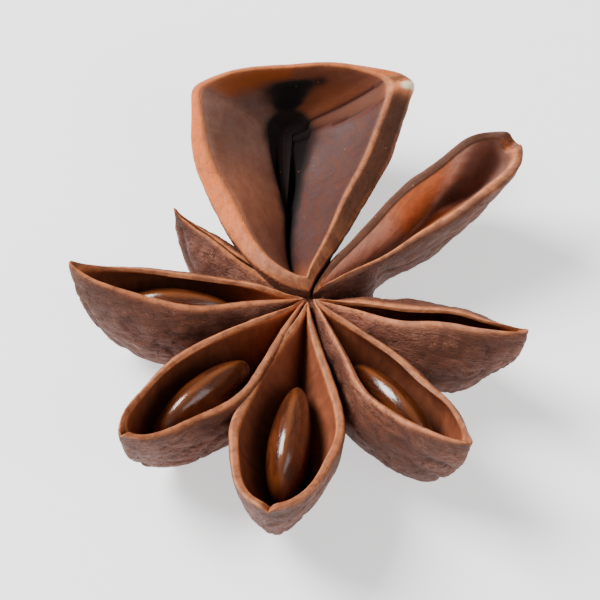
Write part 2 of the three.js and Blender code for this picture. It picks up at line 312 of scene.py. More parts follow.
@dataclass(frozen=True)
class Follicle:
    """One boat-shaped follicle.

    Attributes:
        turn: direction from the hub, in degrees anticlockwise from +X.
        length: from the axis to the beak.
        half: half width at the widest.
        open: from 0, shut, to 1, valves laid right back.
        peak: share of the length at which it is widest.
        side: 1 for straight sides, less for fuller ones.
        skew: how much fuller the left side is.
        nose: 0.5 for a round end, 1 for a pointed one.
        crisp: sharpness of the corner between side and end.
        hub: height of the lips at the hub.
        tip: height of the beak.
        bend: sideways sweep of the beak.
        roll: lean, in degrees.
        lift: height of the keel over the floor.
        lean: how far the keel lies to the left of the lips' middle.
        shallow: how much higher than in the others its cavity ends.
        seed: share of the length at which the seed's middle lies, or None.
    """

    turn: float
    length: float
    half: float
    open: float
    peak: float
    side: float
    skew: float
    nose: float
    crisp: float
    hub: float
    tip: float
    bend: float
    roll: float
    lift: float = 0.0
    lean: float = 0.0
    shallow: float = 0.0
    seed: float | None = None

    @property
    def laid(self) -> float:
        """How nearly the valves are laid right back: the opening's eighth power, small in most follicles."""
        return self.open**8

    @property
    def ajar(self) -> float:
        """1 in the shallow follicle, which shows its lining from above, and 0 in the others."""
        return float(smoothstep(self.shallow, 0.0, 1.0))

    @property
    def corner_angle(self) -> float:
        """Angle of the corner between the left side and the end: twice the arcsine of the peak's root."""
        return 2.0 * math.asin(math.sqrt(self.peak))

    def plan(self, u: Array, nose: float | Array, crisp: float | Array) -> tuple[Array, Array]:
        """Plan of a loop at angle u.

        The reach is the squared sine of half the angle. The side is the sine of a power of it, the end is a
        power of what is left of it, and a power mean joins the two.

        Args:
            u: angle round the loop, 0 at the hub and pi at the beak.
            nose: how pointed the end is.
            crisp: how sharp the corner between side and end is.

        Returns:
            The reach, 0 at the hub and 1 at the beak, and the signed share of the half width.
        """
        left = np.sign(np.cos(u / 2))
        reach = np.sin(u / 2) ** 2
        inside = (reach > 1e-9) & (reach < 1.0 - 1e-9)
        safe = np.where(inside, reach, 0.5)
        side = np.sin(np.pi / 2 * np.minimum(safe / self.peak, 1.0) ** (self.side - left * self.skew))
        end = ((1.0 - safe) / (1.0 - self.peak)) ** nose
        width = ((side**-crisp + end**-crisp) / 2.0) ** (-1.0 / crisp)
        return reach, np.where(inside, left * width, 0.0)

    def angles(self, around: int) -> Array:
        """Angles round a loop, evenly spaced along the lip, with points at each corner, the hub and the beak.

        Each end gets its share of the points, and each stretch is filled evenly by the length run along it.

        Args:
            around: number of points round the loop.

        Returns:
            The angles, from 0 to under two pi.
        """
        share = (0.55 * self.half + (1.0 - self.peak) * self.length) / (self.half + self.length)
        end = max(4, round(around / 2 * share))
        side = around // 2 - end
        stops = [0.0, self.corner_angle, math.pi, 2.0 * math.pi - self.corner_angle, 2.0 * math.pi]
        parts = []
        for start, stop, count in zip(stops[:-1], stops[1:], (side, end, end, side)):
            fine = np.linspace(start, stop, FINE_STEPS)
            reach, across = self.plan(fine, self.nose, self.crisp)
            run = np.hypot(self.length * np.diff(reach), self.half * np.diff(across)).cumsum()
            run = np.concatenate([[0.0], run])
            parts.append(np.interp(np.arange(count) / count * run[-1], run, fine))
        return np.concatenate(parts)

    def girth(self, h: Array) -> Array:
        """Share of the half width that the outer skin has: shut valves draw in to the suture again.

        Args:
            h: share of the height, 0 at the keel and 1 at the lip.

        Returns:
            A sine arch for shut valves, which turns into a bowl and then a power of the height as they open.
        """
        inner = np.clip(h, 0.0, 1.0)
        shut = np.sin(np.pi * inner**0.8).clip(0.0) ** 0.75
        rounded = 0.5 * inner**0.75 + 0.5 * np.sin(np.pi / 2 * inner**0.8).clip(0.0) ** 0.8
        return lerp(shut, lerp(rounded, inner**0.85, self.open), self.open)

    def lining_girth(self, h: Array, share: float, reach: Array) -> Array:
        """The same for the lining: laid right back it is a slit, wider where the seed sat, under flat slopes.

        Args:
            h: share of the height, 0 at the cavity's bottom and 1 at the lip.
            share: share of the cavity's width that is open at the lip.
            reach: place along the follicle, 0 at the hub and 1 at the beak.

        Returns:
            The share of the half width.
        """
        shut = np.sin(np.pi * h**0.85).clip(0.0) ** 0.7
        rounded = 0.5 * h**0.75 + 0.5 * np.sin(np.pi / 2 * h**0.8).clip(0.0) ** 0.8
        pit = 0.06 + 0.16 * smoothstep(reach, 0.3, 0.95)
        slit = pit * np.minimum(h / 0.1, 1.0) ** 0.5
        valley = slit + (1.0 - pit) * np.maximum(0.0, (h - SLIT_TOP) / (1.0 - SLIT_TOP))
        bowl = lerp(shut, lerp(rounded, valley, share**3), share)
        return lerp(bowl, share * valley, self.laid)

    def lip_height(self, reach: Array) -> Array:
        """Height of the lip along the follicle: it climbs to the beak, and sags where the valves lie back."""
        sag = 0.9 * self.open * np.sin(np.pi * np.clip(reach, 0.0, 1.0)) ** 1.5
        return self.hub + (self.tip - self.hub) * np.clip(reach, 0.0, None) ** 1.3 - sag

    def lip(self) -> tuple[float, float]:
        """The split face: it drops inwards where the lip is shut, and outwards on valves laid right back.

        Returns:
            How far it drops inwards, and the share of the cavity's width that is open at the lip.
        """
        slant = math.radians(SPLIT_SLANT * (1.0 - self.open) - BENT_SLANT * self.open**4)
        band = lerp(SHUT_BAND, OPEN_BAND, self.laid)
        mouth = max(0.03, self.half * self.open - band * math.cos(slant))
        return band * math.sin(slant), min(1.0, mouth / (self.half - WALL))

    def corner(self, reach: Array) -> Array:
        """How near a reach is to the corner of a valve laid right back, from 0 to 1."""
        return self.laid * smoothstep(reach, 0.45 * self.peak, self.peak)

    def outer(self, u: Array, h: Array) -> Array:
        """Points of the outer skin: the plan, drawn in by the girth, and wider where neighbours are fused.

        Args:
            u: angle round the loop.
            h: share of the height, 0 at the keel and 1 at the lip.

        Returns:
            The follicle's own points: along it, to its left, and up.
        """
        reach, across = self.plan(u, lerp(0.8, self.nose, h), lerp(2.5, self.crisp, h**3))
        heel = 0.4 * np.maximum(1.0 - h / 0.42, 0.0) ** 1.2
        foot = lerp(0.6, 0.8, self.open**4)
        prow = foot + (1.0 - foot) * (1.0 - (1.0 - h) ** 2.4) ** 0.75
        along = lerp(heel, prow, reach)
        beak = bell(u, math.pi, 0.25) * h**5 * (1.0 - 0.8 * self.laid)
        bottom = self.lift - REST_CUT
        x = HUB_GAP + (self.length - HUB_GAP) * along + 0.35 * beak
        own = self.half * self.girth(h) * np.abs(across) + CLOSED_GAP
        fused = WEB_SLOPE * x * (1.0 - smoothstep(x, 0.4 * WEB_REACH, WEB_REACH))
        fused = fused * np.sin(np.pi * h).clip(0.0) ** 0.4
        half = (own**4 + fused**4) ** 0.25
        z = bottom + h * (self.lip_height(along) - bottom) + 0.45 * beak
        return stacked(x, half * np.sign(across) + self.lean * (1.0 - h), z)

    def floor(self) -> float:
        """Height of the lowest point of the cavity."""
        return self.lift + KEEL_WALL + self.shallow

    def inner(self, u: Array, h: Array) -> Array:
        """Points of the cavity's lining.

        Args:
            u: angle round the loop.
            h: share of the height, 0 at the cavity's bottom and 1 at the inner edge of the lip.

        Returns:
            The follicle's own points.
        """
        drop, share = self.lip()
        reach, across = self.plan(u, self.nose, self.crisp)
        heel = 0.28 * (1.0 - h) ** 1.5
        foot = lerp(0.74, 0.97, self.laid)
        prow = foot + (1.0 - foot) * (1.0 - (1.0 - h) ** 2.6) ** 0.75
        start = lerp(CAVITY_START, LIP_START, h**3)
        end = self.length - lerp(END_WALL, END_LIP, h**3)
        x = start + (end - start) * lerp(heel, prow, reach)
        bottom = self.floor() + SLIT_RISE * self.laid * smoothstep(reach, 0.55, 1.0)
        edge = self.lip_height(x / self.length) - drop
        half = (self.half - WALL) * self.lining_girth(h, share, reach) * np.abs(across) + 0.5 * CLOSED_GAP
        half = half * (1.0 + 0.18 * self.corner(reach) * h**2)
        half = half * np.where(across < 0.0, 1.0 - RIGHT_FOLD * self.laid * h**4, 1.0)
        y = half * np.sign(across) + self.lean * (1.0 - h)
        return stacked(x, y, bottom + h * (edge - bottom))

    def placed(self, points: Array, uneven: float = 1.0) -> Array:
        """Sweeps, rolls and turns the follicle's own points into place, with the wood's low unevenness.

        Args:
            points: own points, shape (..., 3).
            uneven: strength of the unevenness.

        Returns:
            Points in millimetres in the row frame.
        """
        x, y, z = points[..., 0], points[..., 1], points[..., 2]
        share = x / self.length
        swept = y + self.bend * share**2 + uneven * 0.15 * swelling(0.6 * x, 0.4 * y, 0.5 * z, self.turn)
        roll = math.radians(self.roll) * share
        arm = z - MIDDLE_HEIGHT
        across = swept * np.cos(roll) - arm * np.sin(roll)
        high = MIDDLE_HEIGHT + swept * np.sin(roll) + arm * np.cos(roll)
        high = high + uneven * 0.12 * swelling(0.8 * x, y, 0.6 * z, self.turn + 3) * share
        turn = math.radians(self.turn)
        east = x * math.cos(turn) - across * math.sin(turn) + HUB[0]
        north = x * math.sin(turn) + across * math.cos(turn) + HUB[1]
        return stacked(east, north, high)


FOLLICLES = (
    Follicle(
        turn=52, length=15.2, half=2.2, open=0.82, peak=0.87, side=1.05, skew=0.33, nose=0.34, crisp=6,
        hub=6.1, tip=8.0, bend=-0.45, roll=10, lean=0.5, shallow=2.0,
    ),
    Follicle(
        turn=102, length=15.3, half=6.4, open=1.0, peak=0.93, side=0.9, skew=0.26, nose=0.34, crisp=16,
        hub=6.3, tip=7.4, bend=-0.4, roll=2, lean=0.9,
    ),
    Follicle(
        turn=153, length=9.4, half=1.8, open=0.0, peak=0.5, side=1.2, skew=0.0, nose=0.6, crisp=2.5,
        hub=5.2, tip=6.6, bend=0.5, roll=8, lift=1.8,
    ),
    Follicle(
        turn=189, length=13.6, half=2.8, open=0.36, peak=0.58, side=1.35, skew=-0.1, nose=0.6, crisp=2.5,
        hub=6.0, tip=8.2, bend=-0.5, roll=5, seed=0.56,
    ),
    Follicle(
        turn=230, length=14.7, half=3.3, open=0.62, peak=0.63, side=1.35, skew=0.1, nose=0.55, crisp=3,
        hub=6.15, tip=7.9, bend=0.4, roll=-3, seed=0.58,
    ),
    Follicle(
        turn=271, length=15.2, half=3.9, open=0.8, peak=0.68, side=1.3, skew=-0.12, nose=0.52, crisp=4,
        hub=6.05, tip=7.7, bend=-0.3, roll=2, seed=0.57,
    ),
    Follicle(
        turn=313, length=14.1, half=3.0, open=0.5, peak=0.61, side=1.35, skew=0.1, nose=0.58, crisp=3,
        hub=6.2, tip=8.3, bend=0.5, roll=-5, seed=0.57,
    ),
    Follicle(
        turn=355, length=12.8, half=2.5, open=0.14, peak=0.57, side=1.25, skew=0.0, nose=0.62, crisp=2.5,
        hub=5.95, tip=8.4, bend=-0.6, roll=3, lift=0.4,
    ),
)


@dataclass(frozen=True)
class SkinDetail:
    """How finely a follicle's skin is drawn, and how rough its surfaces are, in millimetres.

    Attributes:
        around: number of points round a loop.
        outer_loops: loops from the keel to the lip.
        band_loops: loops over the split face.
        lining_loops: loops from the lip to the cavity's bottom.
        wrinkle: depth of the bark's wrinkles.
        pimple: height of its pimples.
        lining_wave: unevenness of the lining.
        lip_wave: unevenness of the torn lip.
        crease: depth of the creases in a lining laid right back.
        pale_patch: height of the pale raised patch at the right corner of a split face laid right back.
        notch: depth of the notch where a beak parted.
        rounding: how many times the lip's edges are rounded.
    """

    around: int = 150
    outer_loops: int = 42
    band_loops: int = 7
    lining_loops: int = 30
    wrinkle: float = 0.18
    pimple: float = 0.05
    lining_wave: float = 0.03
    lip_wave: float = 0.05
    crease: float = 0.15
    pale_patch: float = 0.3
    notch: float = 0.5
    rounding: int = 3


@dataclass(frozen=True)
class Zones:
    """Where each loop of a follicle's skin lies, as columns of shape (loops, 1) with values from 0 to 1.

    Attributes:
        outside: whether it is on the wrinkled outside.
        band: whether it is on the split face.
        lining: whether it is on the cavity's lining.
        depth: 0 as far as the lip and 1 at the cavity's bottom.
    """

    outside: Array
    band: Array
    lining: Array
    depth: Array


class FollicleSkin:
    """The closed skin of one follicle, and the solid that clears the space inside it."""

    def __init__(self, follicle: Follicle, detail: SkinDetail) -> None:
        """Keeps the follicle and the detail, and works out the loop angles.

        Args:
            follicle: the follicle.
            detail: how finely and how rough it is drawn.
        """
        self.follicle = follicle
        self.detail = detail
        self.u = follicle.angles(detail.around)[None, :]
        self.reach, self.across = follicle.plan(self.u, follicle.nose, follicle.crisp)
        self.seed = int(follicle.turn)
        self.crest = detail.outer_loops - 1
        self.arris = detail.outer_loops + detail.band_loops

    def skin(self) -> Skin:
        """The whole skin: outside from keel to lip, over the split face, and down the lining to its bottom.

        Returns:
            The skin, with its relief and the values for its material.
        """
        follicle, detail = self.follicle, self.detail
        rise = ((np.arange(detail.outer_loops) + 1) / detail.outer_loops)[:, None] ** 1.2
        fall = (np.arange(detail.lining_loops, 0, -1) / detail.lining_loops)[:, None] ** 1.25
        outside = follicle.outer(self.u, rise)
        inside = follicle.inner(self.u, fall)
        step = (np.arange(1, detail.band_loops + 1) / (detail.band_loops + 1))[:, None, None]
        grid = np.concatenate([outside, lerp(outside[-1:], inside[:1], step), inside])
        row = np.arange(len(grid), dtype=float)
        near = np.maximum(bell(row, self.crest, 1.6), bell(row, self.arris, 1.6))
        own = blend_loops(grid, near, detail.rounding)
        lip = np.concatenate([rise[:, 0] ** 10, np.ones(detail.band_loops), fall[:, 0] ** 10])[:, None]
        own[..., 2] += lip * self._wave()
        skin = Skin(follicle.placed(own), self._poles(), {})

        zones = self._zones(row, fall)
        relief, outside_lift = self._relief(own)
        calm = 1.0 - 0.85 * lip**0.5
        crease, pale_patch = self._creases(zones.depth), self._pale_patch(row)
        wave = layered_noise(own * np.array([0.5, 0.9, 0.9]), self.seed + 9, 2)
        lining_lift = detail.lining_wave * wave - detail.crease * crease
        band_lift = 0.5 * detail.lining_wave * layered_noise(own * 1.6, self.seed + 13, 2)
        lift = zones.outside * calm * outside_lift + zones.lining * (1 - lip) * lining_lift
        lift = lift + zones.band * band_lift
        normal = skin.normals()
        skin.grid = skin.grid + normal * lift[..., None]
        skin.grid[..., 2] = np.maximum(skin.grid[..., 2], 0.0)
        skin.grid = skin.grid + detail.pale_patch * pale_patch[..., None] * normal

        dark, tint = self._lining_colour(zones.depth, own)
        edge = self._edge(row, own) + 2.0 * pale_patch
        relief = relief * zones.outside - crease * zones.lining
        skin.values["grain"] = own + np.array([0.0, 0.0, 3.7 * self.seed])
        skin.values["mask"] = stacked(zones.band, zones.lining, edge)
        # The tone holds the relief, the lining's painted shade, and the split faces' painted light and shade.
        skin.values["tone"] = stacked(relief, dark * zones.lining, self._split_light_and_shade(zones, own))
        skin.values["tint"] = tint
        return skin

    def _zones(self, row: Array, fall: Array) -> Zones:
        """Where each loop lies.

        Args:
            row: the loops' numbers.
            fall: height of each lining loop, as a share of the cavity's, shape (loops, 1).

        Returns:
            The shares of the outside, the split face and the lining, and the depth.
        """
        outside = 1.0 - smoothstep(row, self.crest - 0.5, self.crest + 0.5)[:, None]
        lining = smoothstep(row, self.arris - 0.5, self.arris + 0.5)[:, None]
        depth = np.concatenate([np.zeros(len(row) - len(fall)), 1.0 - fall[:, 0]])[:, None]
        return Zones(outside, 1.0 - outside - lining, lining, depth)

    def _wave(self) -> Array:
        """Uneven height of the torn lip, and the notch where the beak of a half open follicle parted.

        Returns:
            Slow and quick noise along the lip, less the notch, in millimetres.
        """
        ring = stacked(3.0 * np.cos(self.u), 3.0 * np.sin(self.u), 0.0)
        torn = lattice_noise(ring, self.seed) + 0.4 * lattice_noise(2.7 * ring, self.seed + 5)
        parted = smoothstep(self.follicle.open, 0.3, 0.65) * (1.0 - smoothstep(self.follicle.open, 0.85, 1.0))
        return self.detail.lip_wave * torn - self.detail.notch * parted * bell(self.u, math.pi, 0.055)

    def _pale_patch(self, row: Array) -> Array:
        """The pale raised patch at the right corner of a split face laid right back, from 0 to 1."""
        place = 2.0 * math.pi - self.follicle.corner_angle + 0.14
        return self.follicle.laid * bell(row, self.crest + 2.5, 4.0)[:, None] * bell(self.u, place, 0.09)

    def _edge(self, row: Array, own: Array) -> Array:
        """Paleness of the split face's worn edges: both of them, but only the inner right one if it is ajar,
        whose left rim is left dark as painted shade.

        Args:
            row: the loops' numbers.
            own: the follicle's own points.

        Returns:
            The paleness, from 0 to 1.
        """
        ajar = self.follicle.ajar
        fine = min(1.3, 1.0 / lerp(SHUT_BAND, OPEN_BAND, self.follicle.laid))
        outer = 0.7 * (1.0 - ajar) * bell(row, self.crest + 0.5, fine)
        inner = bell(row, self.arris - 0.5 - 0.8 * ajar, fine + 0.8 * ajar)
        return np.maximum(outer, inner)[:, None] * (1.0 - ajar * smoothstep(own[..., 1], 0.0, 0.6))

    def _split_light_and_shade(self, zones: Zones, own: Array) -> Array:
        """How lit a split face is painted: laid right back it has painted light on the left and painted shade
        on the right.

        Args:
            zones: where each loop lies.
            own: the follicle's own points.

        Returns:
            A value from -1, painted shade, to 1, painted light. The shallow follicle's split face is in
            painted shade too, most on its left rim.
        """
        follicle = self.follicle
        side = np.clip((own[..., 1] - follicle.lean * zones.depth) / 0.8, -1.0, 1.0)
        turned = follicle.laid * lerp(side * smoothstep(own[..., 0], 0.0, 7.0), 0.6, self._end())
        return turned - follicle.ajar * (0.5 + 0.5 * smoothstep(own[..., 1], 0.0, 0.6)) * zones.band

    def _past_corner(self) -> Array:
        """How far a loop's points lie past the corner of their side, as an angle, less than 0 before it."""
        return math.pi - self.follicle.corner_angle - np.abs(self.u - math.pi)

    def _end(self) -> Array:
        """Whether a point of a loop lies on the end, from 0 to 1."""
        return smoothstep(self._past_corner(), -0.02, 0.05)

    def _fold(self, depth: Array) -> Array:
        """Reach at which the right valve's lining is folded: before the corner, and nearer to it low down."""
        return lerp(0.84, 0.876, np.clip(depth / 0.75, 0.0, 1.0))

    def _creases(self, depth: Array) -> Array:
        """The creases in a lining laid right back: one at each corner, and a fold on the right.

        Args:
            depth: 0 at the lip and 1 at the cavity's bottom.

        Returns:
            The depth of the crease, from 0 to 1.
        """
        corner = bell(self._past_corner(), 0.0, 0.035) * np.where(self.across > 0.0, 0.25, 0.8)
        fold = bell(self.reach, self._fold(depth), 0.013) * (self.across < 0.0)
        return self.follicle.laid * np.maximum(corner, fold)

    def _lining_colour(self, depth: Array, own: Array) -> tuple[Array, Array]:
        """How dark the lining is, and its tints, which paint light and shade onto it.

        It is darker low in a narrow follicle, as painted shade. In one laid right back the slit and the
        middle of the end are in painted shade, with an amber brow to the left, and the walls are mauve, the
        right one as far as
        its fold: a painted sheen on the right wall and painted shade high on the left one. The shallow
        follicle is pale, with a sunny patch in the middle, and mauve towards its beak; its paleness and the
        patch are painted light.

        Args:
            depth: 0 at the lip and 1 at the cavity's bottom.
            own: the follicle's own points.

        Returns:
            The darkness, mostly painted shade, up to 1.5 in the deepest shade, and the amber, mauve and pale
            tints as vectors. They go a little past 1, the last one up to 2, and past 1 the amber and pale
            ones bring in painted light.
        """
        laid, ajar = self.follicle.laid, self.follicle.ajar
        reach, across, end = self.reach, self.across, self._end()
        left, right = smoothstep(across, -0.02, 0.15), smoothstep(-across, -0.02, 0.15)
        cloud = layered_noise(own * 0.8, self.seed + 41, 2)
        low = depth + 0.05 * cloud

        # Painted shade: the slit, the end under the brow, and the head of the cavity.
        slit = smoothstep(low, 0.67, 0.78)
        brow = 0.08 + 0.12 * smoothstep(across, 0.1, 0.7)
        under = end * smoothstep((low - brow) / 0.22, 0.0, 1.0)
        aside = smoothstep(across + 0.3 * cloud, 0.05, 0.7)
        head = under * smoothstep(across + 0.3 * cloud, -0.65, -0.05) * (1.0 - 0.75 * aside)
        past = right * (1.0 - end) * smoothstep(reach - self._fold(depth), -0.006, 0.006)
        top = left * (1.0 - end) * smoothstep(reach, 0.5, 0.88) * (0.04 + 0.15 * cloud)
        top = np.maximum(top, 0.3 * end * (1.0 - left) + 0.62 * past)
        # Painted shade, deeper down in the cavity of the narrower follicles.
        soft = 0.6 * smoothstep(low, 0.25, 1.0)
        narrow = lerp(soft, 0.5 * smoothstep(low, 0.85, 1.0), ajar)
        dark = lerp(narrow, lerp(np.maximum(1.5 * head, top), 1.0, slit), laid)

        amber = laid * left * lerp((0.7 + 0.7 * cloud) * bell(reach, 0.42, 0.3), 1.0 - under, end)
        amber = amber + laid * (0.5 * end * (1.0 - left) * smoothstep(low, 0.15, 0.35) + 0.6 * past)
        # The mauve walls: a painted sheen on the right wall and painted shade high on the left one.
        walls = np.maximum(right * (1.0 - past), 0.7 * left * smoothstep(reach, 0.45, 0.85))
        mauve = laid * (1.0 - end) * walls
        mauve = mauve + 0.7 * laid * under * aside + 0.75 * ajar * smoothstep(reach, 0.76, 0.94)
        # Painted light: the shallow follicle's lining is pale, brightest in a sunny patch, and less so
        # towards the beak.
        pale = ajar * (0.9 + bell(reach, 0.64, 0.2) - 0.75 * smoothstep(reach, 0.78, 0.96))
        pale = pale + 0.28 * laid * left * np.maximum(1.0 - end, under * aside)
        return dark, stacked(amber, mauve, pale)

    def _relief(self, own: Array) -> tuple[Array, Array]:
        """Wrinkles of the dried outer skin: narrow creases that wander along the follicle, and fine pimples.

        A crease lies where warped noise, stretched along the follicle, passes through nought.

        Args:
            own: the follicle's own points.

        Returns:
            The relief for the colour, which darkens the creases with painted shade and pales the ridges,
            -1 in a crease and 1 on a ridge, and the lift in millimetres.
        """
        warp = 0.5 * np.stack([lattice_noise(own * 0.45 + 5.0 * k, self.seed + k) for k in range(3)], axis=-1)
        coarse = lattice_noise((own + warp) * np.array([0.42, 0.85, 0.62]), self.seed + 21)
        fine = lattice_noise((own + warp) * np.array([0.9, 1.9, 1.4]), self.seed + 22)
        crease = 0.8 * bell(coarse, 0.0, 0.14) + 0.6 * bell(fine, 0.0, 0.17)
        pimple = layered_noise(own * 2.6, self.seed + 23, 2)
        relief = np.clip(0.45 + 0.5 * pimple - crease, -1.0, 1.0)
        lift = self.detail.wrinkle * (0.35 - crease) * 0.8 + self.detail.pimple * pimple
        return relief, lift

    def _poles(self) -> Array:
        """The middle points of the keel and of the cavity's bottom.

        Returns:
            Both points in place, shape (2, 3).
        """
        follicle = self.follicle
        keel = [0.49 * follicle.length, follicle.lean, follicle.lift - REST_CUT]
        bottom = [0.5 * follicle.length, follicle.lean, follicle.floor()]
        ends = follicle.placed(np.array([keel, bottom]))
        ends[:, 2] = np.maximum(ends[:, 2], 0.0)
        return ends

    def clearing(self) -> Skin:
        """The solid that clears the cavity and the air over it.

        Returns:
            The lining's skin, grown sideways by a small margin and carried up over the lip.
        """
        follicle = self.follicle
        drop, _ = follicle.lip()
        rise = ((np.arange(CLEARING_LOOPS) + 1) / CLEARING_LOOPS)[:, None] ** 1.3
        lining = follicle.inner(self.u, rise)
        roof = lining[-1:] + np.array([0.0, 0.0, drop + CLEAR])
        grid = follicle.placed(np.concatenate([lining, roof]))
        low = np.array([[0.5 * follicle.length, follicle.lean, follicle.floor() - CLEAR_MARGIN]])
        high = np.array([[0.5 * follicle.length, 0.0, follicle.lip_height(np.array(0.5)) + CLEAR]])
        skin = Skin(grid, follicle.placed(np.concatenate([low, high])), {})
        grow = skin.normals() * CLEAR_MARGIN
        grow[..., 2] = 0.0
        skin.grid = skin.grid + grow
        return skin


# ---- Column, stalk and seeds ----


@dataclass(frozen=True)
class Column:
    """The woody column between the follicles, with the broken stub of the stalk under it, in millimetres."""

    top_radius: float = 0.8
    radius: float = 1.5
    top: float = 5.6
    foot_radius: float = 2.5
    base: float = 2.5
    stalk_radius: float = 0.95
    stalk_end: float = 0.6
    around: int = 96

    def skin(self) -> Skin:
        """A turned profile, drawn smooth, fluted along the stalk, with torn fibres at its broken end.

        Returns:
            The skin, closed at both ends.
        """
        knots = np.array(
            [
                (0.25, self.stalk_end + 0.1),
                (0.6 * self.stalk_radius, self.stalk_end),
                (self.stalk_radius, self.stalk_end + 0.1),
                (self.stalk_radius, self.base - 0.9),
                (0.7 * self.foot_radius, self.base - 0.2),
                (self.foot_radius, self.base + 0.4),
                (self.radius, self.base + 2.0),
                (0.5 * (self.radius + self.top_radius), self.top - 0.5),
                (self.top_radius, self.top),
                (0.25, self.top - 0.2),
            ]
        )
        run = np.concatenate([[0.0], np.hypot(*np.diff(knots, axis=0).T).cumsum()])
        fine = np.linspace(0.0, run[-1], 64)
        radius = np.interp(fine, run, knots[:, 0])[:, None]
        height = np.interp(fine, run, knots[:, 1])[:, None]
        turn = -(np.arange(self.around) / self.around * 2.0 * math.pi)[None, :]
        ring = stacked(np.cos(turn), np.sin(turn), height)
        flute = layered_noise(ring * np.array([2.6, 2.6, 0.5]), 71, 3)
        torn = lattice_noise(ring * np.array([3.5, 3.5, 0.0]) * radius[..., None], 77)
        end = 1.0 - smoothstep(fine, 0.6, 1.1)[:, None]
        radius = radius * (1.0 + 0.07 * flute * (1.0 - end))
        height = height + 0.22 * torn * end
        east, north = radius * np.cos(turn), radius * np.sin(turn)
        grid = stacked(east + HUB[0], north + HUB[1], height)
        poles = np.array([[*HUB, self.stalk_end + 0.15], [*HUB, self.top - 0.25]])
        values = {
            "grain": stacked(height, east, north + 90.0),
            "mask": np.zeros_like(grid),
            "tone": stacked(0.6 * flute, 0.0, 0.0),
            "tint": np.zeros_like(grid),
        }
        return Skin(grid, poles, values)


@dataclass(frozen=True)
class Seed:
    """A flat, oval seed that stands on its edge in its follicle, in millimetres."""

    follicle: Follicle
    length: float = 7.5
    width: float = 4.9
    thickness: float = 2.6
    clearance: float = 0.3
    around: int = 64
    loops: int = 47

    def skin(self) -> Skin:
        """An ellipsoid, narrower at the hub end, with a rim round its edge and its scar at that end.

        Returns:
            The skin, put in place in its follicle.
        """
        middle = self.follicle.seed * self.follicle.length
        height = self.follicle.floor() + self.clearance + self.width / 2.0
        tilt = (np.arange(1, self.loops + 1) / (self.loops + 1) * math.pi)[:, None]
        turn = -(np.arange(self.around) / self.around * 2.0 * math.pi)[None, :]
        x, y, z = -np.cos(tilt), np.sin(tilt) * np.cos(turn), np.sin(tilt) * np.sin(turn)
        narrow = 1.0 - 0.06 * (1.0 - x) ** 2
        rim = bell(y, 0.0, 0.16) * np.sin(tilt)
        scar = bell(x, -0.97, 0.07) * bell(z, 0.12, 0.3)
        swell = 1.0 - 0.035 * scar + 0.012 * rim
        own = stacked(
            middle + self.length / 2.0 * x * (1.0 - 0.02 * scar),
            self.thickness / 2.0 * y * narrow * swell,
            height + self.width / 2.0 * z * narrow * swell,
        )
        tail, head = middle - self.length / 2.0 * 0.98, middle + self.length / 2.0
        ends = np.array([[tail, 0.0, height], [head, 0.0, height]])
        grain = stacked(x * self.length / 2.0, y * self.thickness, z * self.width / 2.0)
        values = {"grain": grain, "mask": stacked(rim, scar, 0.0)}
        return Skin(self.follicle.placed(own, 0.0), self.follicle.placed(ends, 0.0), values)


# ---- Materials ----

Colour = Triple  # red, green and blue as screen values, from 0 to 255


def linear(colour: Colour) -> tuple[float, float, float, float]:
    """The linear values that the shaders use for a colour, by the screen's own curve."""
    shares = [value / 255.0 for value in colour]
    return (*(c / 12.92 if c <= 0.04045 else ((c + 0.055) / 1.055) ** 2.4 for c in shares), 1.0)


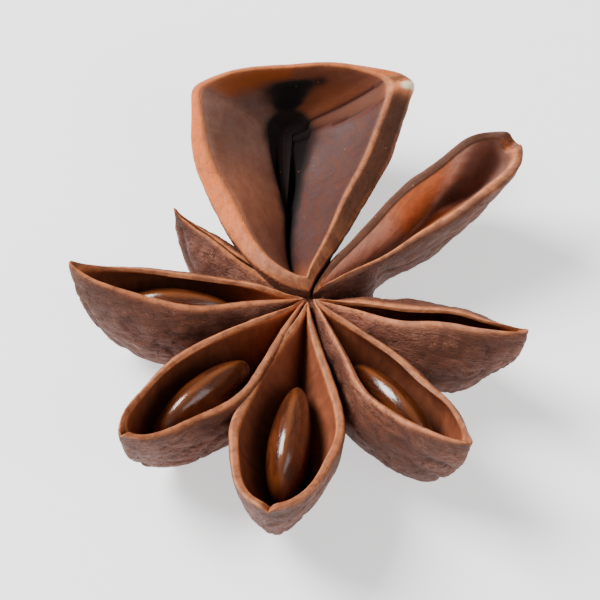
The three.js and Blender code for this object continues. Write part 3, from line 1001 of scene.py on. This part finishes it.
class Graph:
    """A material's node tree, with short calls for the nodes that the finishes use."""

    def __init__(self, name: str) -> None:
        """Starts an empty material with a Principled surface.

        Args:
            name: the material's name.
        """
        self.material = bpy.data.materials.new(name)
        self.material.use_nodes = True
        self.tree = self.material.node_tree
        self.tree.nodes.clear()
        self.surface = self.tree.nodes.new("ShaderNodeBsdfPrincipled")
        output = self.tree.nodes.new("ShaderNodeOutputMaterial")
        self.tree.links.new(self.surface.outputs["BSDF"], output.inputs["Surface"])

    def _put(self, socket: bpy.types.NodeSocket, value: object) -> None:
        """Links a socket to another one, or sets its number or colour.

        Args:
            socket: the socket that is fed.
            value: another socket, a number, or a colour as screen values.
        """
        if isinstance(value, bpy.types.NodeSocket):
            self.tree.links.new(value, socket)
        else:
            socket.default_value = linear(value) if isinstance(value, tuple) else value

    def values(self, name: str) -> list[bpy.types.NodeSocket]:
        """The three parts of an attribute.

        Args:
            name: the attribute's name.

        Returns:
            A socket for each part.
        """
        node = self.tree.nodes.new("ShaderNodeAttribute")
        node.attribute_name = name
        parts = self.tree.nodes.new("ShaderNodeSeparateXYZ")
        self._put(parts.inputs[0], node.outputs["Vector"])
        return list(parts.outputs)

    def stretched(self, name: str, scale: Triple) -> bpy.types.NodeSocket:
        """An attribute as a vector, multiplied along each axis.

        Args:
            name: the attribute's name.
            scale: the three factors.

        Returns:
            The vector.
        """
        node = self.tree.nodes.new("ShaderNodeAttribute")
        node.attribute_name = name
        times = self.tree.nodes.new("ShaderNodeVectorMath")
        times.operation = "MULTIPLY"
        self._put(times.inputs[0], node.outputs["Vector"])
        times.inputs[1].default_value = scale
        return times.outputs[0]

    def noise(
        self, place: bpy.types.NodeSocket, detail: float = 4.0, rough: float = 0.55, warp: float = 0.0
    ) -> bpy.types.NodeSocket:
        """Noise at a place, one cell to a unit.

        Args:
            place: the vector that it is read at.
            detail: number of finer layers.
            rough: strength of each layer beside the last one.
            warp: how far the place is pushed about by other noise.

        Returns:
            The noise, from 0 to 1.
        """
        node = self.tree.nodes.new("ShaderNodeTexNoise")
        self._put(node.inputs["Vector"], place)
        node.inputs["Scale"].default_value = 1.0
        node.inputs["Detail"].default_value = detail
        node.inputs["Roughness"].default_value = rough
        node.inputs["Distortion"].default_value = warp
        return node.outputs["Fac"]

    def span(
        self, value: bpy.types.NodeSocket, low: float, high: float, to_low: float = 0.0, to_high: float = 1.0
    ) -> bpy.types.NodeSocket:
        """Carries a value's range to another one by an S-curve, held at its ends.

        Args:
            value: the value.
            low, high: the range that is carried.
            to_low, to_high: what its ends become.

        Returns:
            The carried value.
        """
        node = self.tree.nodes.new("ShaderNodeMapRange")
        node.interpolation_type = "SMOOTHSTEP"
        for socket, number in zip(list(node.inputs)[:5], (value, low, high, to_low, to_high)):
            self._put(socket, number)
        return node.outputs[0]

    def math(self, kind: str, a: object, b: object) -> bpy.types.NodeSocket:
        """Puts two numbers together.

        Args:
            kind: the operation, such as ADD or MULTIPLY.
            a, b: numbers or sockets.

        Returns:
            The result.
        """
        node = self.tree.nodes.new("ShaderNodeMath")
        node.operation = kind
        self._put(node.inputs[0], a)
        self._put(node.inputs[1], b)
        return node.outputs[0]

    def mix(self, share: object, a: object, b: object) -> bpy.types.NodeSocket:
        """Turns one colour towards another.

        Args:
            share: how far, from 0 to 1.
            a, b: the colours, or numbers.

        Returns:
            The mixed colour.
        """
        node = self.tree.nodes.new("ShaderNodeMix")
        node.data_type = "RGBA"
        self._put(node.inputs[0], share)
        self._put(node.inputs[6], a)
        self._put(node.inputs[7], b)
        return node.outputs[2]

    def bump(self, height: bpy.types.NodeSocket, depth: float) -> None:
        """Tilts the surface's normals by a height.

        Args:
            height: the height, from 0 to 1.
            depth: what its full range stands for, in metres.
        """
        node = self.tree.nodes.new("ShaderNodeBump")
        node.inputs["Strength"].default_value = 1.0
        node.inputs["Distance"].default_value = depth
        self._put(node.inputs["Height"], height)
        self._put(self.surface.inputs["Normal"], node.outputs[0])

    def finish(self, colour: object, rough: object, **numbers: float) -> bpy.types.Material:
        """Sets the surface's colour, roughness and constants.

        Args:
            colour: the base colour.
            rough: the roughness.
            numbers: other inputs, by their names with underscores for blanks.

        Returns:
            The material.
        """
        self._put(self.surface.inputs["Base Color"], colour)
        self._put(self.surface.inputs["Roughness"], rough)
        for name, value in numbers.items():
            self.surface.inputs[name.replace("_", " ")].default_value = value
        return self.material


@dataclass(frozen=True)
class WoodFinish:
    """Colours of the dried follicles, as screen values, and the depth of their fine relief, in metres."""

    bark: Colour = (112, 62, 43)
    bark_dark: Colour = (80, 43, 30)
    # Paler on the ridges, partly dust and partly a painted sheen; the crease colour is painted shade in
    # creases and cracks.
    bark_dust_and_sheen: Colour = (144, 93, 69)
    crease: Colour = (50, 27, 20)
    split: Colour = (160, 98, 62)
    split_dark: Colour = (122, 70, 44)
    # Painted light and painted shade for the split faces.
    split_painted_light: Colour = (208, 100, 28)
    split_painted_shade: Colour = (60, 28, 14)
    edge: Colour = (212, 128, 78)
    pale_patch: Colour = (244, 222, 190)
    lining: Colour = (146, 82, 54)
    lining_dark: Colour = (122, 66, 45)
    lining_amber: Colour = (148, 74, 28)
    # The two mauves paint the sheen on the right wall and shade high on the left one.
    lining_mauve: Colour = (51, 36, 35)
    lining_mauve_pale: Colour = (68, 49, 49)
    lining_pale: Colour = (226, 182, 162)
    # Painted light on the lining.
    lining_painted_light: Colour = (224, 142, 88)
    # Painted shade in the lining's creases.
    lining_crease_shade: Colour = (84, 30, 20)
    # Painted shade: near black in the slit, and blacker still at the head of the cavity.
    pit: Colour = (30, 24, 23)
    shade: Colour = (6, 4, 4)
    relief: float = 0.00009

    def material(self) -> bpy.types.Material:
        """The pod's material: rough bark, fibrous split faces with pale edges, and a satin lining, with light
        and shade painted into all three.

        Returns:
            The material dried_wood.
        """
        graph = Graph("dried_wood")
        band, lining, edge = graph.values("mask")
        # The tone holds the relief, the lining's painted shade and the split faces' painted light and shade;
        # the tint holds tints that are partly painted light and shade.
        relief, dark, side = graph.values("tone")
        amber, mauve, pale = graph.values("tint")

        patch = graph.noise(graph.stretched("grain", (0.3, 0.5, 0.5)), 4.0, 0.6, 0.6)
        fibre = graph.noise(graph.stretched("grain", (0.9, 4.5, 4.5)), 3.0, 0.6, 0.4)
        grit = graph.noise(graph.stretched("grain", (7.0, 9.0, 9.0)), 3.0, 0.65)
        web = graph.noise(graph.stretched("grain", (0.6, 2.0, 2.0)), 4.0, 0.6, 0.5)
        from_line = graph.math("ABSOLUTE", graph.math("SUBTRACT", web, 0.5), 0.0)
        crackle = graph.span(from_line, 0.0, 0.03, 1.0, 0.0)
        crackle = graph.math("MULTIPLY", crackle, graph.span(patch, 0.42, 0.6))
        bark = graph.mix(graph.span(patch, 0.35, 0.65), self.bark_dark, self.bark)
        bark = graph.mix(graph.span(fibre, 0.45, 0.7, 0.0, 0.35), bark, self.bark_dark)
        # Ridges are paler, partly dust and partly a painted sheen; creases and the web's cracks get painted
        # shade.
        dust_and_sheen = graph.math("MULTIPLY", graph.span(relief, 0.1, 0.9), graph.span(grit, 0.4, 0.68, 0.1, 0.75))
        bark = graph.mix(dust_and_sheen, bark, self.bark_dust_and_sheen)
        bark = graph.mix(graph.span(relief, 0.0, -0.9, 0.0, 0.5), bark, self.crease)
        bark = graph.mix(graph.math("MULTIPLY", crackle, 0.45), bark, self.crease)

        torn = graph.noise(graph.stretched("grain", (1.3, 1.3, 1.3)), 5.0, 0.62, 0.8)
        split = graph.mix(graph.span(torn, 0.36, 0.64), self.split_dark, self.split)
        # Painted light on the left split face of a follicle laid right back, painted shade on its right one
        # and on the shallow follicle's rims.
        painted_light = graph.span(side, 0.0, 1.0, 0.0, 0.9)
        painted_light = graph.math("MULTIPLY", painted_light, graph.span(torn, 0.3, 0.6, 0.6, 1.0))
        split = graph.mix(painted_light, split, self.split_painted_light)
        split = graph.mix(graph.span(side, 0.0, -1.0, 0.0, 0.9), split, self.split_painted_shade)
        split = graph.mix(graph.span(grit, 0.55, 0.75, 0.0, 0.35), split, self.split_dark)

        streak = graph.noise(graph.stretched("grain", (2.2, 0.5, 0.5)), 4.0, 0.55, 0.5)
        mottle = graph.noise(graph.stretched("grain", (1.6, 1.6, 1.6)), 4.0, 0.6, 0.5)
        inside = graph.mix(graph.span(streak, 0.3, 0.7), self.lining_dark, self.lining)
        inside = graph.mix(graph.math("MULTIPLY", amber, 0.9), inside, self.lining_amber)
        # Painted light where the amber tint passes 1.
        inside = graph.mix(graph.span(amber, 1.0, 1.4, 0.0, 0.5), inside, self.lining_painted_light)
        # The mauve tint: painted sheen on the right wall, painted shade high on the left one.
        dusky = graph.mix(graph.span(mottle, 0.35, 0.68), self.lining_mauve, self.lining_mauve_pale)
        inside = graph.mix(graph.math("MULTIPLY", mauve, 0.9), inside, dusky)
        # Painted light: the pale tint, and past 1 a sunny patch.
        inside = graph.mix(graph.span(pale, 0.0, 1.0, 0.0, 0.9), inside, self.lining_pale)
        inside = graph.mix(graph.span(pale, 1.0, 1.8, 0.0, 0.85), inside, self.lining_painted_light)
        inside = graph.mix(graph.span(mottle, 0.6, 0.36, 0.0, 0.3), inside, self.lining_dark)
        # Painted shade in the lining's creases.
        inside = graph.mix(graph.span(relief, -0.1, -0.8, 0.0, 0.8), inside, self.lining_crease_shade)
        # Painted shade in the slit and at the head of the cavity.
        inside = graph.mix(graph.math("MULTIPLY", dark, 0.97), inside, self.pit)
        inside = graph.mix(graph.span(dark, 1.0, 1.6, 0.0, 0.8), inside, self.shade)

        colour = graph.mix(band, bark, split)
        colour = graph.mix(lining, colour, inside)
        worn = graph.math("MULTIPLY", edge, graph.span(torn, 0.3, 0.62, 0.3, 0.85))
        colour = graph.mix(worn, colour, self.edge)
        # A near-white patch at the right corner of the split face laid right back.
        colour = graph.mix(graph.span(edge, 1.15, 1.7), colour, self.pale_patch)
        speck = graph.noise(graph.stretched("grain", (4.3, 4.9, 4.9)), 1.0, 0.5)
        colour = graph.mix(graph.span(speck, 0.77, 0.8, 0.0, 0.5), colour, self.edge)

        rough = graph.span(fibre, 0.3, 0.7, 0.5, 0.72)
        satin = graph.math("ADD", graph.span(streak, 0.3, 0.7, 0.36, 0.48), graph.math("MULTIPLY", dark, 0.5))
        satin = graph.math("ADD", satin, graph.math("MULTIPLY", mauve, 0.16))
        shine = graph.mix(lining, rough, satin)
        coarse = graph.math("ADD", graph.math("MULTIPLY", grit, 0.8), fibre)
        coarse = graph.math("SUBTRACT", coarse, graph.math("MULTIPLY", crackle, 0.8))
        soft = graph.math("ADD", graph.math("MULTIPLY", streak, 0.35), graph.math("MULTIPLY", grit, 0.14))
        torn_face = graph.math("ADD", graph.math("MULTIPLY", torn, 0.7), graph.math("MULTIPLY", grit, 0.2))
        graph.bump(graph.mix(lining, graph.mix(band, coarse, torn_face), soft), self.relief)
        graph.surface.inputs["Subsurface Radius"].default_value = (1.0, 0.35, 0.15)
        return graph.finish(
            colour, shine, Specular_IOR_Level=0.3, Subsurface_Weight=0.12, Subsurface_Scale=0.0005
        )


@dataclass(frozen=True)
class SeedFinish:
    """Colours of the seeds, as screen values, and the depth of their fine relief, in metres."""

    coat: Colour = (92, 44, 20)
    coat_dark: Colour = (58, 26, 13)
    rim: Colour = (126, 70, 34)
    scar: Colour = (188, 152, 112)
    relief: float = 0.00004

    def material(self) -> bpy.types.Material:
        """The seeds' material: a hard, glossy, mottled coat, paler along its rim and at the scar.

        Returns:
            The material seed.
        """
        graph = Graph("seed")
        rim, scar, _ = graph.values("mask")
        cloud = graph.noise(graph.stretched("grain", (0.5, 0.9, 0.6)), 4.0, 0.6, 0.8)
        pore = graph.noise(graph.stretched("grain", (6.0, 6.0, 6.0)), 3.0, 0.6)
        coat = graph.mix(graph.span(cloud, 0.35, 0.65), self.coat_dark, self.coat)
        coat = graph.mix(graph.math("MULTIPLY", rim, 0.6), coat, self.rim)
        coat = graph.mix(scar, coat, self.scar)
        shine = graph.math("ADD", graph.span(pore, 0.3, 0.7, 0.12, 0.24), graph.math("MULTIPLY", scar, 0.4))
        graph.bump(graph.math("ADD", cloud, graph.math("MULTIPLY", pore, 0.3)), self.relief)
        return graph.finish(coat, shine, Coat_Weight=0.4, Coat_Roughness=0.08)


# ---- The pod ----


class Pod:
    """The whole pod: the follicles joined to the column, and the seeds in them."""

    def __init__(self, detail: SkinDetail) -> None:
        """Keeps the detail of the skins."""
        self.detail = detail

    def wood(self) -> bpy.types.Object:
        """Joins the follicles to the column, the shut ones first, each over a cleared space.

        Returns:
            The object of the whole pod.
        """
        whole = Column().skin().build("pod_wood")
        for follicle in sorted(FOLLICLES, key=lambda f: f.open):
            skin = FollicleSkin(follicle, self.detail)
            join_solid(whole, skin.clearing().build("clearing"), Joining.CUT)
            join_solid(whole, skin.skin().build("skin"), Joining.ADD)
            LOG.info("follicle at %g degrees joined: %d faces", follicle.turn, len(whole.data.polygons))
        whole.data.set_sharp_from_angle(angle=math.radians(SHARP_ANGLE))
        whole.data.materials.clear()
        whole.data.materials.append(WoodFinish().material())
        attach(whole, "root")
        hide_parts("pod")
        return whole

    def seeds(self) -> list[bpy.types.Object]:
        """Makes the seeds, one for each follicle that holds one.

        Returns:
            Their objects.
        """
        material = SeedFinish().material()
        made = []
        for number, follicle in enumerate((f for f in FOLLICLES if f.seed), 1):
            thing = Seed(follicle).skin().build(f"glossy_seed_{number}")
            thing.data.materials.append(material)
            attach(thing, "root")
            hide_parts(f"seed_{number}")
            LOG.info("seed %d: %d faces", number, len(thing.data.polygons))
            made.append(thing)
        return made


# ---- Floor, light and camera ----


@dataclass(frozen=True)
class Studio:
    """A plain pale floor, soft light, and a camera that looks down on the pod from the front.

    Attributes:
        azimuth: camera's direction from the front, in degrees towards +X.
        elevation: its height over the floor, in degrees.
        distance: from the camera to the pod, in metres.
        lens: focal length, in millimetres.
        target: the point looked at, in metres.
    """

    azimuth: float = 8.0
    elevation: float = 58.0
    distance: float = 0.32
    lens: float = 330.0
    target: Triple = (-0.0002, 0.0007, 0.0042)

    def camera(self) -> None:
        """Makes the camera: it stands at its distance from the target, along azimuth and elevation."""
        data = bpy.data.cameras.new("camera")
        data.lens = self.lens
        data.clip_start = 0.01
        data.clip_end = 5.0
        thing = bpy.data.objects.new("camera", data)
        turn, rise = math.radians(self.azimuth), math.radians(self.elevation)
        away = Vector((math.sin(turn) * math.cos(rise), -math.cos(turn) * math.cos(rise), math.sin(rise)))
        thing.location = Vector(self.target) + self.distance * away
        thing.rotation_euler = away.to_track_quat("Z", "Y").to_euler()
        bpy.context.scene.collection.objects.link(thing)
        bpy.context.scene.camera = thing

    def light(self, name: str, place: Triple, size: float, power: float) -> None:
        """Makes a square soft light that faces the pod.

        Args:
            name: its name.
            place: where it stands, in metres.
            size: its width, in metres.
            power: its strength, in watts.
        """
        data = bpy.data.lights.new(name, "AREA")
        data.size = size
        data.energy = power
        thing = bpy.data.objects.new(name, data)
        thing.location = place
        thing.rotation_euler = Vector(place).to_track_quat("Z", "Y").to_euler()
        bpy.context.scene.collection.objects.link(thing)

    def world(self) -> None:
        """Sets an even pale light all round."""
        world = bpy.data.worlds.new("studio")
        world.use_nodes = True
        back = world.node_tree.nodes["Background"]
        back.inputs["Color"].default_value = (1.0, 0.99, 0.975, 1.0)
        back.inputs["Strength"].default_value = 0.24
        bpy.context.scene.world = world

    def floor(self) -> None:
        """Makes the floor, a wide pale sheet with a faint, even grain."""
        mesh = bpy.data.meshes.new("floor")
        corners = [(x * FLOOR_REACH, y * FLOOR_REACH, 0.0) for x, y in ((-1, -1), (1, -1), (1, 1), (-1, 1))]
        mesh.from_pydata(corners, [], [(0, 1, 2, 3)])
        thing = bpy.data.objects.new("floor", mesh)
        graph = Graph("floor")
        place = graph.tree.nodes.new("ShaderNodeTexCoord").outputs["Object"]
        cloud = graph.noise(place, 2.0)
        colour = graph.mix(graph.span(cloud, 0.3, 0.7), (238, 238, 238), (244, 244, 243))
        graph.surface.inputs["Emission Color"].default_value = (1.0, 1.0, 1.0, 1.0)
        mesh.materials.append(graph.finish(colour, 0.6, Emission_Strength=0.9))
        bpy.context.scene.collection.objects.link(thing)

    def build(self) -> None:
        """Makes all of it."""
        self.floor()
        self.world()
        self.light("key", (-0.34, 0.1, 0.38), 0.26, 6.6)
        self.light("fill", (0.42, -0.22, 0.3), 0.4, 1.2)
        self.camera()


def main() -> None:
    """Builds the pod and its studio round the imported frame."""
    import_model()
    pod = Pod(SkinDetail())
    pod.wood()
    pod.seeds()
    Studio().build()


if __name__ == "__main__":
    main()
